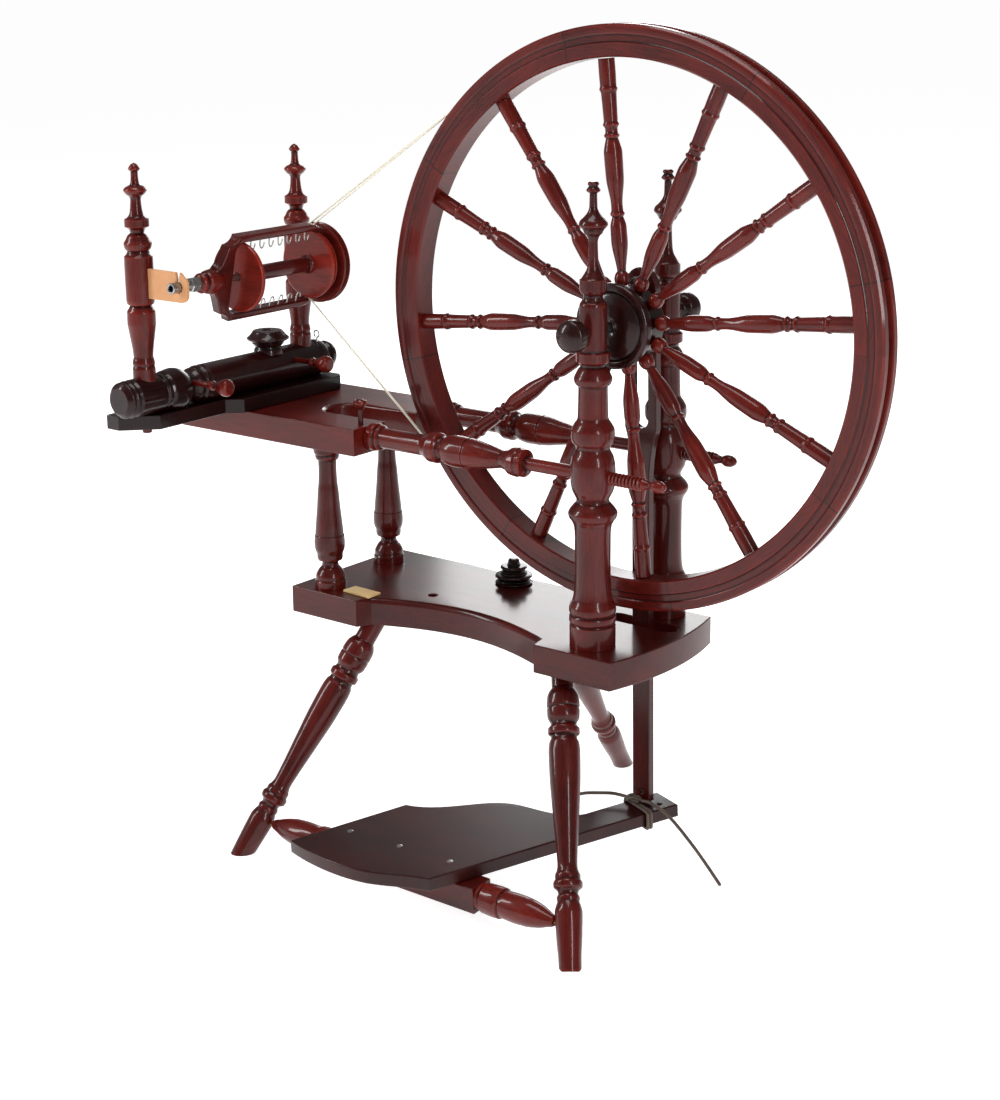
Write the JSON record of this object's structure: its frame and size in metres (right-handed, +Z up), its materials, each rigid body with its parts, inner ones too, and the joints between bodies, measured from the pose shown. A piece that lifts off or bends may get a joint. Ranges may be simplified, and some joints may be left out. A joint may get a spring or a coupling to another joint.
{
  "type": "spinning wheel",
  "caption": "Upright spoked drive wheel on a legged base with a raised flyer and bobbin, driven by a treadle through a footman and crank.",
  "frame": {"origin": "on the floor, at the middle of the footprint with the lace tails left out", "axes": "+Z up, +X from the flyer side to the wheel side, +Y along the axle away from the spinner"},
  "size_m": [0.886, 0.5438, 0.928],
  "materials": {
    "mahogany": "mahogany-stained hardwood under glossy clear lacquer",
    "red_mahogany": "redder mahogany-stained hardwood under glossy clear lacquer",
    "dark_mahogany": "nearly black stained hardwood under glossy clear lacquer",
    "pale_wood": "bare pale wood, blank",
    "steel": "plain bright steel",
    "brass": "plain brass",
    "tan_leather": "thick undyed tan leather, cut edges",
    "lace_leather": "thin grey-brown leather lace",
    "cotton_cord": "pale twisted cotton cord"
  },
  "bodies": {
    "frame": {"base_board": "mahogany", "leg_near_left": "mahogany", "leg_near_right": "mahogany", "leg_far": "mahogany", "baluster_near": "mahogany", "baluster_far": "mahogany", "table_board": "mahogany", "wheel_post_near": "mahogany", "wheel_post_far": "mahogany", "arm_near": "red_mahogany", "arm_far": "red_mahogany", "mother_of_all_plate": "dark_mahogany", "mother_of_all": "dark_mahogany", "maiden_near": "red_mahogany", "maiden_far": "red_mahogany", "leather_near": "tan_leather", "leather_far": "tan_leather", "eye_hook": "steel", "drive_band": "cotton_cord", "name_plate": "pale_wood"},
    "wheel": {"rim": "mahogany", "hub": "dark_mahogany", "axle_crank": "steel", "spoke_01": "red_mahogany", "spoke_02": "red_mahogany", "spoke_03": "red_mahogany", "spoke_04": "red_mahogany", "spoke_05": "red_mahogany", "spoke_06": "red_mahogany", "spoke_07": "red_mahogany", "spoke_08": "red_mahogany", "spoke_09": "red_mahogany", "spoke_10": "red_mahogany", "spoke_11": "red_mahogany", "spoke_12": "red_mahogany"},
    "flyer": {"flyer_yoke": "mahogany", "flyer_spindle": "steel", "flyer_whorl": "mahogany"},
    "bobbin": {"bobbin_near_disc": "red_mahogany", "bobbin_core": "mahogany", "bobbin_far_disc": "red_mahogany"},
    "treadle": {"treadle_board": "mahogany", "treadle_bar": "red_mahogany", "pivot_pin_left": "brass", "pivot_pin_right": "brass", "treadle_screw_1": "steel", "treadle_screw_2": "steel", "treadle_screw_3": "steel", "lace_knot": "lace_leather", "lace_tail_left": "lace_leather", "lace_tail_right": "lace_leather"},
    "footman": {"footman": "mahogany"},
    "axle_knob_near": {"axle_knob_near": "dark_mahogany"},
    "axle_knob_far": {"axle_knob_far": "dark_mahogany"},
    "tension_knob": {"tension_knob": "dark_mahogany"},
    "brake_peg_near": {"brake_peg_near": "red_mahogany"},
    "brake_peg_far": {"brake_peg_far": "red_mahogany"},
    "lock_peg": {"lock_peg": "red_mahogany"},
    "spare_whorl": {"spare_whorl": "dark_mahogany"}
  },
  "joints": [
    {"name": "wheel_spin", "type": "hinge", "parent": "frame", "child": "wheel", "pos_m": [0.138, -0.00928, 0.623], "axis": [0, 1, 0], "continuous": true},
    {"name": "flyer_spin", "type": "hinge", "parent": "frame", "child": "flyer", "pos_m": [-0.299, -0.08928, 0.65], "axis": [0, 1, 0], "continuous": true},
    {"name": "bobbin_spin", "type": "hinge", "parent": "frame", "child": "bobbin", "pos_m": [-0.299, -0.06928, 0.65], "axis": [0, 1, 0], "continuous": true},
    {"name": "treadle_rock", "type": "hinge", "parent": "frame", "child": "treadle", "pos_m": [-0.012, -0.19828, 0.034], "axis": [1, 0, 0], "range_deg": [-6, 0.5]},
    {"name": "footman_tie", "type": "hinge", "parent": "treadle", "child": "footman", "pos_m": [0.1415, 0.02506, 0.07999], "axis": [1, 0, 0], "range_deg": [-1, 6.5]},
    {"name": "axle_knob_near_turn", "type": "hinge", "parent": "frame", "child": "axle_knob_near", "pos_m": [0.138, -0.08928, 0.623], "axis": [0, 1, 0], "continuous": true},
    {"name": "axle_knob_far_turn", "type": "hinge", "parent": "frame", "child": "axle_knob_far", "pos_m": [0.138, 0.09072, 0.623], "axis": [0, 1, 0], "continuous": true},
    {"name": "tension_knob_turn", "type": "hinge", "parent": "frame", "child": "tension_knob", "pos_m": [-0.362, -0.02928, 0.55], "axis": [0, 0, 1], "continuous": true},
    {"name": "brake_peg_near_turn", "type": "hinge", "parent": "frame", "child": "brake_peg_near", "pos_m": [-0.322, -0.16828, 0.5288], "axis": [1, 0, 0], "continuous": true},
    {"name": "brake_peg_far_turn", "type": "hinge", "parent": "frame", "child": "brake_peg_far", "pos_m": [-0.322, -0.00328, 0.5288], "axis": [1, 0, 0], "continuous": true},
    {"name": "lock_peg_lift", "type": "slide", "parent": "frame", "child": "lock_peg", "axis": [0, 0, 1], "range_m": [0, 0.02]},
    {"name": "spare_whorl_lift", "type": "slide", "parent": "frame", "child": "spare_whorl", "axis": [0, 0, 1], "range_m": [0, 0.04]}
  ],
  "couplings": [
    {"joint": "flyer_spin", "follows": "wheel_spin", "ratio": 6.8716},
    {"joint": "bobbin_spin", "follows": "wheel_spin", "ratio": 8.4157},
    {"joint": "footman_tie", "follows": "treadle_rock", "ratio": -1}
  ]
}
